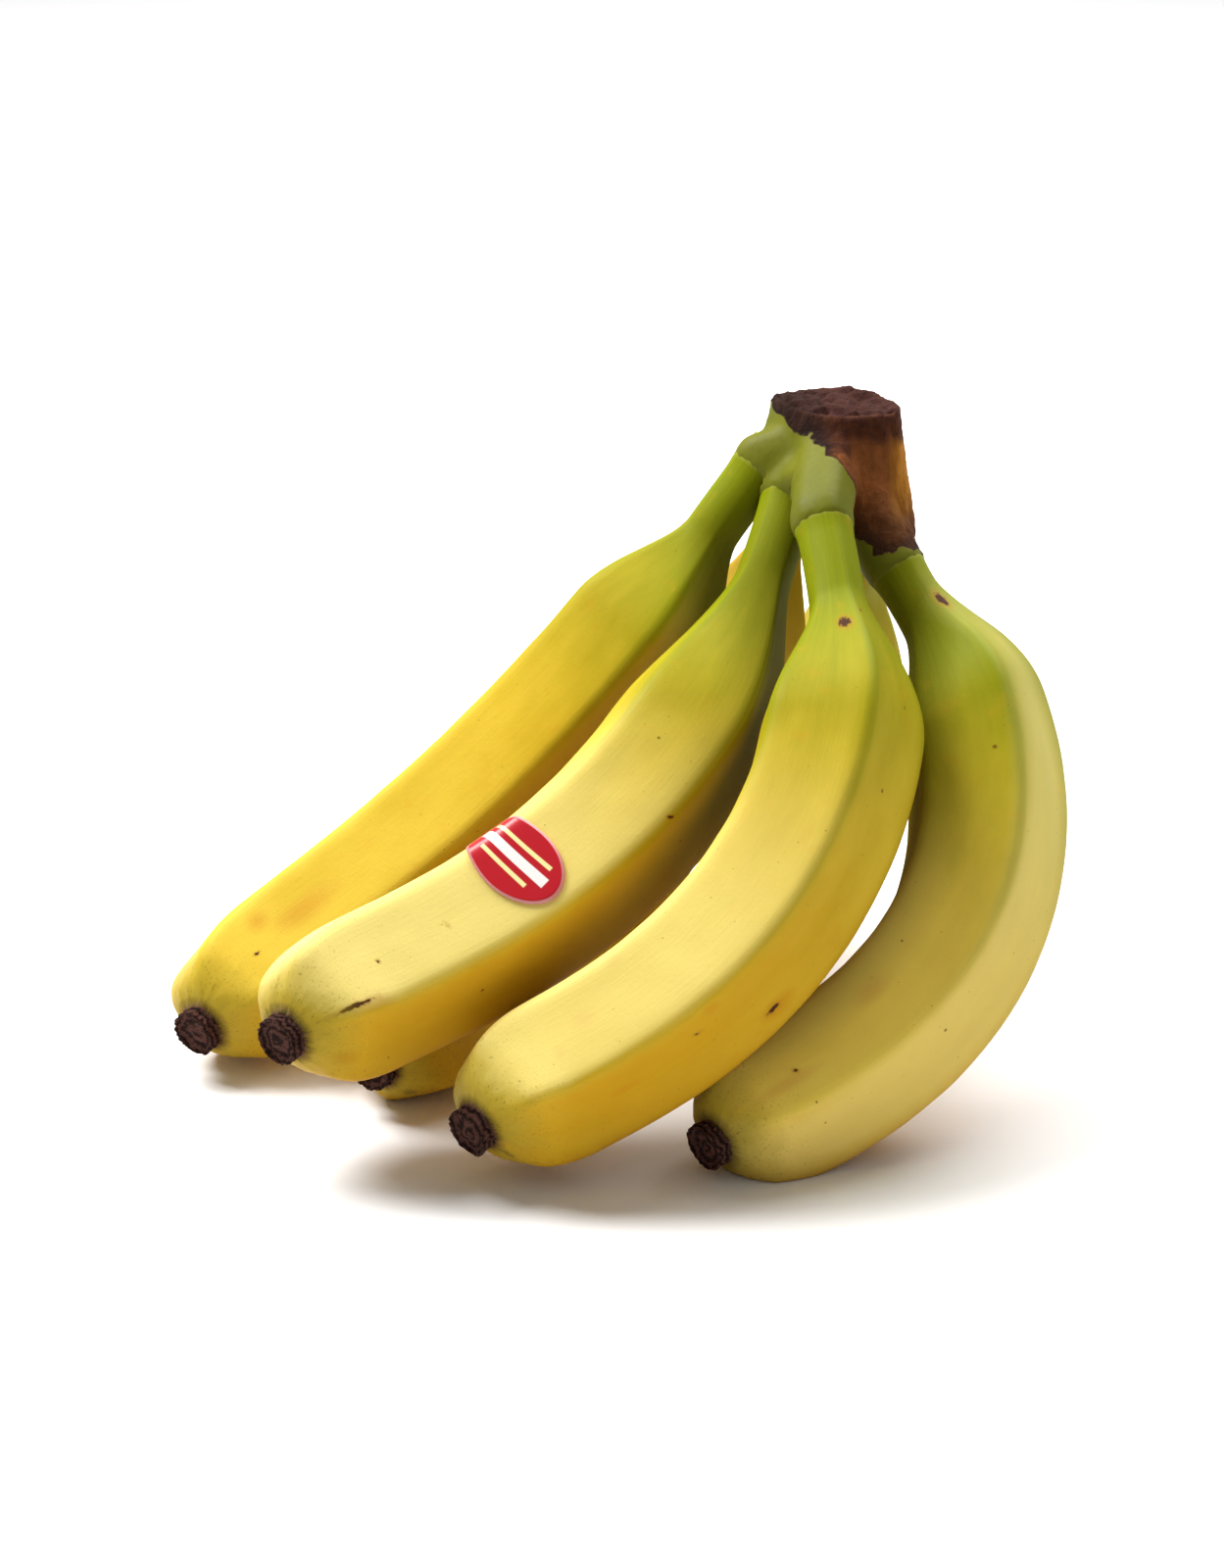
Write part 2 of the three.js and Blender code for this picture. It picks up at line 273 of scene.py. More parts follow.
def banana_skin():
    """Ripe banana peel: a waxy plant skin, so satin, yellow with green left at the neck, with fine
    length-wise fibres, pale pores and brown specks, and a black dry end where the flower was."""
    skin = new_material("banana_peel")
    straight = add(skin, "Attribute", out="Vector", attribute_name="straight")
    along, to_tip, ridge, scar, rust, green, unripe, neighbour_shade, amber_and_under_shade, pale = (
        add(skin, "Attribute", out="Fac", attribute_name=name)
        for name in SKIN_NUMBERS)

    # cloudy patches 25 mm wide and twice as long, streaks 1.5 mm wide, fibres 0.4 mm wide
    long_way = add(skin, "Mapping", {"Vector": straight, "Scale": (1, 1, 0.4)})
    clouds = add(skin, "TexNoise", {"Vector": long_way, "Scale": 40, "Detail": 4, "Roughness": 0.6})
    fibre_way = add(skin, "Mapping", {"Vector": straight, "Scale": (1, 1, 0.05)})
    streaks = add(skin, "TexNoise", {"Vector": fibre_way, "Scale": 650, "Detail": 3, "Roughness": 0.55})
    fibres = add(skin, "TexNoise", {"Vector": fibre_way, "Scale": 2400, "Detail": 2})
    blotches = add(skin, "TexNoise", {"Vector": straight, "Scale": 120, "Detail": 5, "Roughness": 0.65})

    body = add(skin, "ValToRGB", {"Fac": clouds})
    for element, (place, code) in zip(body.node.color_ramp.elements,
                                      ((0.32, "#c6a518"), (0.68, "#dabd36"))):
        element.position, element.color = place, colour(code)
    streak_amount = add(skin, "MapRange", {"Value": streaks, "From Min": 0.35, "From Max": 0.75,
                                           "To Min": 0.0, "To Max": 0.35})
    body = add(skin, "Mix", {"Factor": streak_amount, "A": body, "B": colour("#d6ac30")}, data_type="RGBA")

    # green at the neck, running down the ridges and the streaks
    wander = add(skin, "Math", {0: clouds, 1: 0.036}, operation="MULTIPLY")
    down_ridge = add(skin, "Math", {0: ridge, 1: -0.012}, operation="MULTIPLY")
    from_neck = add(skin, "Math", {0: unripe, 1: wander}, operation="ADD")
    from_neck = add(skin, "Math", {0: from_neck, 1: down_ridge}, operation="ADD")
    neck = add(skin, "MapRange", {"Value": from_neck, "From Min": 0.03, "From Max": 0.092,
                                  "To Min": 1.0, "To Max": 0.0}, interpolation_type="SMOOTHSTEP")
    neck = add(skin, "Math", {0: neck, 1: green}, operation="MULTIPLY")
    neck_green = add(skin, "Mix", {"Factor": streaks, "A": colour("#6c7600"), "B": colour("#838a00")},
                     data_type="RGBA")
    body = add(skin, "Mix", {"Factor": neck, "A": body, "B": neck_green}, data_type="RGBA")

    # ripe amber where the skin is bruised or presses on its neighbours
    ripe = add(skin, "MapRange", {"Value": blotches, "From Min": 0.58, "From Max": 0.8,
                                  "To Min": 0.0, "To Max": 0.35})
    body = add(skin, "Mix", {"Factor": ripe, "A": body, "B": colour("#c98c14")}, data_type="RGBA")
    rust = add(skin, "MapRange", {"Value": rust, "From Min": 0.15, "From Max": 0.8,
                                  "To Min": 0.0, "To Max": 0.6})
    body = add(skin, "Mix", {"Factor": rust, "A": body, "B": colour("#c08408")}, data_type="RGBA")

    # painted shade: amber on the faces that look down, under the bunch, and over the whole of the fruits
    # that are amber of their own
    under_shade_and_amber = add(skin, "MapRange", {"Value": amber_and_under_shade, "From Min": 0.05, "From Max": 1.0,
                                       "To Min": 0.0, "To Max": 0.75})
    body = add(skin, "Mix", {"Factor": under_shade_and_amber, "A": body, "B": colour("#b97c0c")}, data_type="RGBA")

    # painted shade: deep olive on the flanks where the neighbouring fruit casts its shadow
    painted_flank = add(skin, "MapRange", {"Value": neighbour_shade, "From Min": 0.08, "From Max": 0.75,
                                   "To Min": 0.0, "To Max": 0.85})
    body = add(skin, "Mix", {"Factor": painted_flank, "A": body, "B": colour("#5b5406")}, data_type="RGBA")

    # painted highlight: a creamy sheen on the faces that look up and on the pale flanks
    painted_sheen = add(skin, "Math", {0: pale, 1: 0.8}, operation="MULTIPLY")
    body = add(skin, "Mix", {"Factor": painted_sheen, "A": body, "B": colour("#f1df88")}, data_type="RGBA")

    # a thin worn line on the ridges
    worn = add(skin, "MapRange", {"Value": ridge, "From Min": 0.75, "From Max": 1.0,
                                  "To Min": 0.0, "To Max": 0.22})
    body = add(skin, "Mix", {"Factor": worn, "A": body, "B": colour("#b99a2c")}, data_type="RGBA")

    # brown specks: sparse ones about 1 mm wide, and many faint ones of 0.4 mm
    for scale, size, strength, code in ((210, 0.13, 0.8, "#6a4212"), (700, 0.17, 0.5, "#7d5c16")):
        cells = add(skin, "TexVoronoi", {"Vector": straight, "Scale": scale, "Randomness": 1.0}).node
        kept = add(skin, "SeparateColor", {"Color": cells.outputs["Color"]})
        kept = add(skin, "MapRange", {"Value": kept, "From Min": 0.82, "From Max": 1.0,
                                      "To Min": 0.0, "To Max": size})
        speck = add(skin, "Math", {0: kept, 1: cells.outputs["Distance"]}, operation="SUBTRACT")
        speck = add(skin, "MapRange", {"Value": speck, "From Min": 0.0, "From Max": 0.05,
                                       "To Min": 0.0, "To Max": strength})
        body = add(skin, "Mix", {"Factor": speck, "A": body, "B": colour(code)}, data_type="RGBA")

    # scars and scrapes with ragged edges
    ragged = add(skin, "TexNoise", {"Vector": straight, "Scale": 900, "Detail": 4})
    ragged = add(skin, "MapRange", {"Value": ragged, "To Min": -0.35, "To Max": 0.35})
    scarred = add(skin, "Math", {0: scar, 1: ragged}, operation="ADD")
    halo = add(skin, "MapRange", {"Value": scarred, "From Min": 0.1, "From Max": 0.6,
                                  "To Min": 0.0, "To Max": 0.55})
    core = add(skin, "MapRange", {"Value": scarred, "From Min": 0.45, "From Max": 0.65})
    body = add(skin, "Mix", {"Factor": halo, "A": body, "B": colour("#a8701c")}, data_type="RGBA")
    body = add(skin, "Mix", {"Factor": core, "A": body, "B": colour("#43230f")}, data_type="RGBA")

    # the collar's pale line, then the olive and black end
    collar = add(skin, "MapRange", {"Value": along, "From Min": 0.0025, "From Max": 0.0045,
                                    "To Min": 0.3, "To Max": 0.0})
    body = add(skin, "Mix", {"Factor": collar, "A": body, "B": colour("#c9b978")}, data_type="RGBA")
    tip_wander = add(skin, "MapRange", {"Value": blotches, "To Min": -0.004, "To Max": 0.004})
    tip_place = add(skin, "Math", {0: to_tip, 1: tip_wander}, operation="ADD")
    olive = add(skin, "MapRange", {"Value": tip_place, "From Min": 0.004, "From Max": 0.014,
                                   "To Min": 0.75, "To Max": 0.0})
    body = add(skin, "Mix", {"Factor": olive, "A": body, "B": colour("#8f7c22")}, data_type="RGBA")
    freckles = add(skin, "MapRange", {"Value": to_tip, "From Min": 0.003, "From Max": 0.024,
                                      "To Min": 0.75, "To Max": 0.0})
    freckle_noise = add(skin, "TexNoise", {"Vector": straight, "Scale": 1500, "Detail": 2})
    freckle_noise = add(skin, "MapRange", {"Value": freckle_noise, "From Min": 0.6, "From Max": 0.76})
    freckles = add(skin, "Math", {0: freckles, 1: freckle_noise}, operation="MULTIPLY")
    body = add(skin, "Mix", {"Factor": freckles, "A": body, "B": colour("#5c4210")}, data_type="RGBA")
    fine_wander = add(skin, "MapRange", {"Value": ragged, "To Min": 0.0, "To Max": 0.0012})
    end_place = add(skin, "Math", {0: to_tip, 1: fine_wander}, operation="ADD")
    dry = add(skin, "MapRange", {"Value": end_place, "From Min": 0.0034, "From Max": 0.0046,
                                 "To Min": 1.0, "To Max": 0.0})
    bent_rings = add(skin, "Math", {0: blotches, 1: 0.005}, operation="MULTIPLY")
    bent_rings = add(skin, "Math", {0: to_tip, 1: bent_rings}, operation="ADD")
    rings = add(skin, "Math", {0: bent_rings, 1: 3600.0}, operation="MULTIPLY")
    rings = add(skin, "Math", {0: rings}, operation="SINE")
    rings = add(skin, "MapRange", {"Value": rings, "From Min": -1.0, "From Max": 1.0})
    crumbs = add(skin, "TexNoise", {"Vector": straight, "Scale": 1100, "Detail": 5, "Roughness": 0.7})
    rings = add(skin, "Math", {0: rings, 1: crumbs}, operation="MULTIPLY")
    dry_skin = add(skin, "Mix", {"Factor": rings, "A": colour("#1c110f"), "B": colour("#8a5c50")},
                   data_type="RGBA")
    body = add(skin, "Mix", {"Factor": dry, "A": body, "B": dry_skin}, data_type="RGBA")

    # waxy but not polished; the dry end is dull
    gloss = add(skin, "MapRange", {"Value": blotches, "To Min": 0.42, "To Max": 0.6})
    dull = add(skin, "Math", {0: dry, 1: painted_flank}, operation="MAXIMUM")
    gloss = add(skin, "Mix", {"Factor": dull, "A": gloss, "B": 0.95}, data_type="FLOAT")
    relief = add(skin, "Math", {0: fibres, 1: crumbs}, operation="ADD")
    bumps = add(skin, "Bump", {"Height": relief, "Strength": 0.25, "Distance": 0.0002})
    rough_end = add(skin, "Math", {0: rings, 1: dry}, operation="MULTIPLY")
    bumps = add(skin, "Bump", {"Height": rough_end, "Strength": 1.0, "Distance": 0.0009, "Normal": bumps})
    surface = add(skin, "BsdfPrincipled", {"Base Color": body, "Roughness": gloss, "Normal": bumps,
                                           "IOR": 1.45, "Specular IOR Level": 0.09,
                                           "Subsurface Weight": 0.04,
                                           "Subsurface Radius": (0.004, 0.002, 0.0005)})
    add(skin, "OutputMaterial", {"Surface": surface})
    return skin


def crown_bark():
    """The cut crown: dry brown plant fibre that is cracked and streaked, with the green pad that is
    left under it, a blackened rim between the two and a rough cut top."""
    bark = new_material("dry_banana_crown")
    place = add(bark, "TexCoord", out="Object")
    bark_side, cut, golden, char = (add(bark, "Attribute", out="Fac", attribute_name=name)
                                    for name in ("bark", "cut", "golden", "char"))

    # fibres run down the stump: 1 mm wide and about 15 mm long, with cracks 4 mm apart
    down = add(bark, "Mapping", {"Vector": place, "Scale": (1, 1, 0.09)})
    fibres = add(bark, "TexNoise", {"Vector": down, "Scale": 900, "Detail": 5, "Roughness": 0.65})
    strands = add(bark, "TexNoise", {"Vector": down, "Scale": 260, "Detail": 4, "Roughness": 0.6})
    crumbs = add(bark, "TexNoise", {"Vector": place, "Scale": 700, "Detail": 6, "Roughness": 0.7})
    clouds = add(bark, "TexNoise", {"Vector": place, "Scale": 90, "Detail": 4})

    brown = add(bark, "Mix", {"Factor": strands, "A": colour("#331409"), "B": colour("#a9642a")},
                data_type="RGBA")
    fibre_amount = add(bark, "MapRange", {"Value": fibres, "From Min": 0.3, "From Max": 0.8,
                                          "To Min": 0.0, "To Max": 0.6})
    brown = add(bark, "Mix", {"Factor": fibre_amount, "A": brown, "B": colour("#8a5029")}, data_type="RGBA")
    gold = add(bark, "Mix", {"Factor": fibres, "A": colour("#8a5414"), "B": colour("#d08a2c")},
               data_type="RGBA")
    brown = add(bark, "Mix", {"Factor": golden, "A": brown, "B": gold}, data_type="RGBA")
    cut_face = add(bark, "Mix", {"Factor": crumbs, "A": colour("#120706"), "B": colour("#5a3026")},
                   data_type="RGBA")
    charred = add(bark, "Mix", {"Factor": crumbs, "A": colour("#150a09"), "B": colour("#4a1f16")},
                  data_type="RGBA")
    brown = add(bark, "Mix", {"Factor": char, "A": brown, "B": charred}, data_type="RGBA")
    brown = add(bark, "Mix", {"Factor": cut, "A": brown, "B": cut_face}, data_type="RGBA")

    pad = add(bark, "Mix", {"Factor": clouds, "A": colour("#5a5e0c"), "B": colour("#737318")},
              data_type="RGBA")
    pad_streak = add(bark, "MapRange", {"Value": fibres, "From Min": 0.45, "From Max": 0.8,
                                        "To Min": 0.0, "To Max": 0.4})
    pad = add(bark, "Mix", {"Factor": pad_streak, "A": pad, "B": colour("#57540f")}, data_type="RGBA")

    ragged = add(bark, "MapRange", {"Value": crumbs, "To Min": -0.5, "To Max": 0.5})
    edge = add(bark, "Math", {0: bark_side, 1: ragged}, operation="ADD")
    barked = add(bark, "MapRange", {"Value": edge, "From Min": -0.15, "From Max": 0.15})
    base = add(bark, "Mix", {"Factor": barked, "A": pad, "B": brown}, data_type="RGBA")
    black_band = add(bark, "MapRange", {"Value": edge, "From Min": 0.0, "From Max": 7.0,
                                        "To Min": 0.9, "To Max": 0.0})
    black_band = add(bark, "Math", {0: black_band, 1: barked}, operation="MULTIPLY")
    base = add(bark, "Mix", {"Factor": black_band, "A": base, "B": colour("#1a0f0b")}, data_type="RGBA")

    gloss = add(bark, "Mix", {"Factor": barked, "A": 0.5, "B": 0.82}, data_type="FLOAT")
    relief = add(bark, "Math", {0: fibres, 1: crumbs}, operation="ADD")
    strength = add(bark, "Mix", {"Factor": barked, "A": 0.1, "B": 0.9}, data_type="FLOAT")
    bumps = add(bark, "Bump", {"Height": relief, "Strength": strength, "Distance": 0.0009})
    surface = add(bark, "BsdfPrincipled", {"Base Color": base, "Roughness": gloss, "Normal": bumps,
                                           "IOR": 1.45, "Specular IOR Level": 0.15})
    add(bark, "OutputMaterial", {"Surface": surface})
    return bark


def sticker_paper():
    """Coated paper fruit sticker: smooth and glossy, printed red with a pale rim and plain bars."""
    paper = new_material("coated_sticker_paper")
    print_place = add(paper, "Attribute", out="Vector", attribute_name="print")
    split = add(paper, "SeparateXYZ", {"Vector": print_place}).node.outputs
    from_middle = add(paper, "VectorMath", {0: print_place}, out="Value", operation="LENGTH")
    face = colour("#b80a1c")
    # (centre across, half width, half length, colour) of each bar, in shares of the half width
    for across, half, reach, code in ((0.38, 0.05, 0.62, "#f0e6a0"), (0.0, 0.13, 0.72, "#f4eeea"),
                                      (-0.38, 0.05, 0.5, "#f0e6a0")):
        away = add(paper, "Math", {0: split["Y"], 1: across}, operation="SUBTRACT")
        away = add(paper, "Math", {0: away}, operation="ABSOLUTE")
        inside = add(paper, "MapRange", {"Value": away, "From Min": half, "From Max": half + 0.02,
                                         "To Min": 1.0, "To Max": 0.0})
        end = add(paper, "Math", {0: split["X"]}, operation="ABSOLUTE")
        within = add(paper, "MapRange", {"Value": end, "From Min": reach, "From Max": reach + 0.015,
                                         "To Min": 1.0, "To Max": 0.0})
        inside = add(paper, "Math", {0: inside, 1: within}, operation="MULTIPLY")
        face = add(paper, "Mix", {"Factor": inside, "A": face, "B": colour(code)}, data_type="RGBA")
    rim = add(paper, "MapRange", {"Value": from_middle, "From Min": 0.93, "From Max": 0.95})
    face = add(paper, "Mix", {"Factor": rim, "A": face, "B": colour("#d98a86")}, data_type="RGBA")
    grain = add(paper, "TexNoise", {"Vector": print_place, "Scale": 60, "Detail": 3})
    bumps = add(paper, "Bump", {"Height": grain, "Strength": 0.15, "Distance": 0.00005})
    surface = add(paper, "BsdfPrincipled", {"Base Color": face, "Roughness": 0.33, "Normal": bumps,
                                            "IOR": 1.5})
    add(paper, "OutputMaterial", {"Surface": surface})
    return paper


SIDES = 90
SIDE_ROWS = 210
CAP_ROWS = 8
ROW_CROWDING = 0.035  # the rows lie closer together towards both ends
NECK_START = -3.0  # the neck's first ring is inside the crown
NECK_SINK = 1.3  # how much thinner it is there
NECK_SUNK = (0.5, 3.0)  # where it comes out of the sink, and over what length
SKIN_LIFT = 0.05
# Where the body is filled, where the dry end begins and where the neck stops being round: the
# start and the width of each fade, in millimetres or in shares of the neck
FILLED_OVER = 20.0
NEAR_END = (11.0, 8.0)
NECK_ROUND = (0.7, 0.8)
NECK_ROUNDNESS = 0.75
ROUND_REACH = 0.99
# The straight, even-sized tube on which the skin's grain is laid out
STRAIGHT_RADIUS = 16.0
STRAIGHT_CLOSING = 0.97
STRAIGHT_APART = 0.31  # metres from one fruit's grain to the next one's
# Noise on the skin: its size in millimetres and the step of its seed
SWAY_STRETCH = [1, 1, 0.5]
SWAY, DENTS, RAGGED, CRUMBS = (22, 0), (7, 11), (2.2, 23), (3.0, 31)
SWAY_TURN, SWAY_HEIGHT, DENT_HEIGHT, RAGGED_HEIGHT = 0.05, 0.3, 0.1, 0.6
# The dry end's dish: its depth, the share of the way in where it is deepest, how steep its wall
# is and how high its middle stands; then how rough its rim and its floor are
DISH_DEPTH, DISH_FLOOR, DISH_WALL, DISH_MIDDLE = 1.1, 0.6, 3, 0.5
RIM_ROUGHNESS, FLOOR_ROUGHNESS = 0.3, 0.4
# How the faces' way of looking paints shade under them and a highlight on top of them: the start and the
# width of each fade
LOOKS_DOWN = (-0.4375, 1.25)
LOOKS_UP = (0.1, 0.7)
SHEEN_FROM, SHEEN_OVER = 0.32, 0.35  # where the painted highlight on the upper faces sets in: shares of the length
RIDGE_WIDTH = 1.3

# Marks on the skin: along the fruit and around it in degrees, then length and width in millimetres.
SCARS = {
    "banana_1": ((24, 10, 1.6, 1.4), (170, -40, 2.0, 1.0)),
    "banana_2": ((174, -128, 11.0, 1.1), (91, -136, 1.3, 1.1), (141, -102, 1.3, 1.0),
                 (160, -104, 1.1, 1.2)),
    "banana_3": ((34, -114, 3.4, 2.8), (113, 172, 3.2, 1.6), (176, 150, 1.8, 1.6), (126, -152, 1.4, 1.2),
                 (30, -140, 1.0, 1.0)),
    "banana_4": ((16, -121, 4.6, 2.2), (146, -88, 1.5, 0.9)),
    "banana_5": ((178, -128, 2.0, 2.6), (96, 40, 1.6, 1.4)),
    "banana_6": ((70, 60, 2.2, 1.6),),
}
RUSTS = {
    "banana_1": ((150, -36, 14, 5), (162, -20, 6, 4)),
    "banana_2": ((178, 178, 5, 3), (168, -128, 12, 4)),
    "banana_3": ((143, -94, 4.5, 3.5), (152, -108, 3.5, 2.5), (131, -70, 3.5, 2.5), (112, 170, 6, 4),
                 (143, -158, 5, 1.6), (121, -142, 3, 1.5)),
    "banana_4": ((150, -94, 16, 2.2), (120, -70, 8, 4)),
    "banana_5": ((60, -120, 40, 12),),
    "banana_6": ((50, 150, 20, 10),),
}
# Flanks with painted shade (olive) and flanks with a painted highlight (pale), in the same way
SHADED_FLANKS = {
    "banana_1": ((35, -125, 50, 14),),
    "banana_2": ((58, -172, 88, 22),),
    "banana_4": ((92, -12, 170, 22), (172, -100, 12, 22)),
}
SHEEN_FLANKS = {"banana_4": ((105, -148, 105, 14),)}
SHEEN_STRENGTH, FLAT_TOP = 0.55, 2.2  # how strong that flank's painted highlight is, and how much of it is even
# For each fruit: how green its neck is, how fast the green goes over into yellow on the way down,
# how strong the painted highlight on its upper faces is and how amber all of it is
COLOURING = {"banana_1": (1.0, 0.85, 0.1, 0.0), "banana_2": (1.0, 0.65, 1.0, 0.0),
             "banana_3": (1.0, 0.72, 0.9, 0.0), "banana_4": (1.0, 0.66, 0.3, 0.0),
             "banana_5": (0.5, 1.6, 0.2, 0.5), "banana_6": (0.9, 1.2, 0.2, 0.2)}


def nearness(fruit, marks, s, angle):
    """1 at the middle of a mark, 0.5 at its edge and 0 at twice its size."""
    near = np.zeros(len(s))
    for where, turn, length, width in marks:
        across = (angle - math.radians(turn) + math.pi) % FULL_TURN - math.pi
        away = np.hypot((s - where) / length * 2, across * fruit.radius_at(s, angle) / width * 2)
        near = np.maximum(near, 1 - away / 2)
    return near


def banana(name, seed, material):
    fruit = fruits[name]
    bm = lathe(SIDE_ROWS + CAP_ROWS + 2, SIDES)
    mesh = finished(name + "_skin", bm, material, name).data
    raw = points_of(mesh)
    row, angle = raw[:, 2], np.arctan2(raw[:, 1], raw[:, 0])
    t = np.clip((row - 1) / SIDE_ROWS, 0, 1)
    t = t - ROW_CROWDING * np.sin(FULL_TURN * t)
    s = NECK_START + (fruit.length - NECK_START) * t
    # 0 at the end's rim, 1 at its middle
    inward = np.clip((row - (SIDE_ROWS + 1.0)) / (CAP_ROWS + 1), 0, 1)
    on_pole = np.hypot(raw[:, 0], raw[:, 1]) < HALF_ROW

    around = np.stack([np.cos(angle), np.sin(angle), np.zeros_like(angle)], -1)
    straight = around * (STRAIGHT_RADIUS * (1 - STRAIGHT_CLOSING * inward))[:, None]
    straight = straight + np.stack([0 * s, 0 * s, s], -1)
    sway = lumps(straight * SWAY_STRETCH, SWAY[0], seed + SWAY[1])
    dents, ragged, crumbs = (lumps(straight, size, seed + step) for size, step in (DENTS, RAGGED, CRUMBS))
    filled = fade(s, fruit.neck, FILLED_OVER)
    near_end = fade(s, fruit.length - NEAR_END[0], NEAR_END[1])
    at_neck = 1 - fade(s, NECK_ROUND[0] * fruit.neck, NECK_ROUND[1] * fruit.neck)
    five_sided = fruit.reach(angle + SWAY_TURN * sway)
    rounded = np.maximum(near_end, NECK_ROUNDNESS * at_neck)
    reach = fruit.radius_at(s, angle) * (five_sided + (ROUND_REACH - five_sided) * rounded)
    reach = reach + filled * (SWAY_HEIGHT * sway + DENT_HEIGHT * dents) + near_end * RAGGED_HEIGHT * ragged
    reach = reach - NECK_SINK * (1 - fade(s, *NECK_SUNK)) + SKIN_LIFT

    # the dry end: a raised rim, a dish and a low middle
    cap = inward > 0
    reach = reach * np.where(cap, np.cos(inward * math.pi / 2), 1.0)
    reach = np.where(on_pole, 0.0, reach)
    wall = np.sin(np.minimum(inward, DISH_FLOOR) / DISH_FLOOR * math.pi / 2) * smooth(inward * DISH_WALL)
    dish = DISH_MIDDLE * fade(inward, DISH_FLOOR, 1 - DISH_FLOOR) - DISH_DEPTH * wall
    rough = RIM_ROUGHNESS * ragged * (1 - inward) + FLOOR_ROUGHNESS * crumbs
    place = fruit.place(s + np.where(cap, dish + rough, 0), angle, reach)
    place[:, 2] = np.maximum(place[:, 2], 0.0)
    set_points(mesh, (place + BUNCH_SHIFT) * MM)

    looks_up = normals_of(mesh)[:, 2]
    # painted shade: the faces that look down are coloured amber
    painted_under_shade = fade(-looks_up, *LOOKS_DOWN)
    sheen_part = fade(s, SHEEN_FROM * fruit.length, SHEEN_OVER * fruit.length)
    # painted highlight: the upper faces towards the tip are coloured cream
    painted_top_light = fade(looks_up, *LOOKS_UP) * sheen_part
    green, unripe, top_sheen, golden = COLOURING[name]
    # painted highlight on the flanks listed as pale
    painted_flank = nearness(fruit, SHEEN_FLANKS.get(name, ()), s, angle)
    numbers = {
        "amber_and_under_shade": np.maximum(painted_under_shade * filled, golden),
        "pale": np.maximum(painted_top_light * top_sheen, SHEEN_STRENGTH * np.minimum(FLAT_TOP * painted_flank, 1)),
        "unripe": s * unripe * MM,
        # painted shade: the olive flanks beside a neighbouring fruit
        "olive": nearness(fruit, SHADED_FLANKS.get(name, ()), s, angle),
        "straight": straight * MM + [seed * STRAIGHT_APART, 0, 0],
        "along": s * MM,
        "to_tip": (fruit.length - s - inward * REMNANT_RADIUS) * MM,
        "ridge": np.exp(-(fruit.from_ridge(angle) * fruit.radius / RIDGE_WIDTH) ** 2) * filled,
        "green": np.full(len(s), green),
        "rust": nearness(fruit, RUSTS[name], s, angle),
        "scar": nearness(fruit, SCARS[name], s, angle),
    }
    for key, values in numbers.items():
        store(mesh, key, values)


skin = banana_skin()
for number, name in enumerate(FRUITS, 1):
    banana(name, number, skin)

VOXEL = 0.8 * MM
SMOOTH_PASSES = 16
WELD = 1e-6
# The lower edge of the bark: its height over x. All places on the crown are in the bunch's own
# millimetres, from before it was shifted.
BARK_EDGE_X = (30, 36, 38.5, 45, 48.3, 50.3, 51.5, 53, 55, 57, 61.5, 64.8, 67, 69.7)
BARK_EDGE_Z = (139, 139, 138, 135.5, 132.5, 124, 113.4, 111, 113, 114, 113.7, 112.5, 110.7, 109)

# The flesh that fills the gaps between neighbouring necks, with its half thickness. It runs from one
# seat to the next and sags towards the stump's heart.
STUMP_HEART = np.array([50.0, 31.0, 133.0])
WEBS = (("banana_1", "banana_2", 6.2), ("banana_2", "banana_3", 6.4), ("banana_1", "banana_5", 6.0),
        ("banana_5", "banana_6", 6.2), ("banana_6", "banana_4", 6.2))
WEB_STEPS = (0.25, 0.5, 0.75)
WEB_SAG = 0.25
STUB_LENGTH, STUB_STEP = 12.0, 0.5
# The start and the width of each fade on the crown, in millimetres
FRONT_STEM_Y, FRONT_STEM_X, FRONT_STEM_DROP = (11, 3), (54, 2), 12
BARK_SOFTNESS = 1.5
CUT_HEIGHT, CUT_LOOKS_UP = (139.6, 1.2), (0.3, 0.4)
GOLDEN_X, GOLDEN_TOP, GOLDEN_FOOT = (61, 4), (132, 6), (114, 8)
RIM_HEIGHT, CHAR_HEIGHT, CHAR_WANDER = (136, 4), (131.5, 4), 2.5
CHAR_STRENGTH, CHAR_CRUMBS = 0.8, 0.2
STUB_DOWN = (2.5, 4.5)
# How far the surface stands out, in millimetres: the pad, the bark and the cut top
PAD_OUT, STUB_IN = 0.5, 1.8
BARK_OUT, BARK_FIBRES, BARK_CRUMBS, BARK_RIM = 0.3, 0.4, 0.25, 0.6
CUT_IN, CUT_CRUMBS, CUT_CLODS = 1.3, 0.9, 1.2
TOP = 141.5


def along_stub(points):
    """How far along the nearest neck each point is, in millimetres from its collar."""
    stations = np.arange(0, STUB_LENGTH, STUB_STEP)
    nearest, along = np.full(len(points), np.inf), np.zeros(len(points))
    for fruit in fruits.values():
        for s, centre in zip(stations, fruit.centre(stations)):
            away = np.linalg.norm(points - centre, axis=1)
            along = np.where(away < nearest, s, along)
            nearest = np.minimum(away, nearest)
    return along


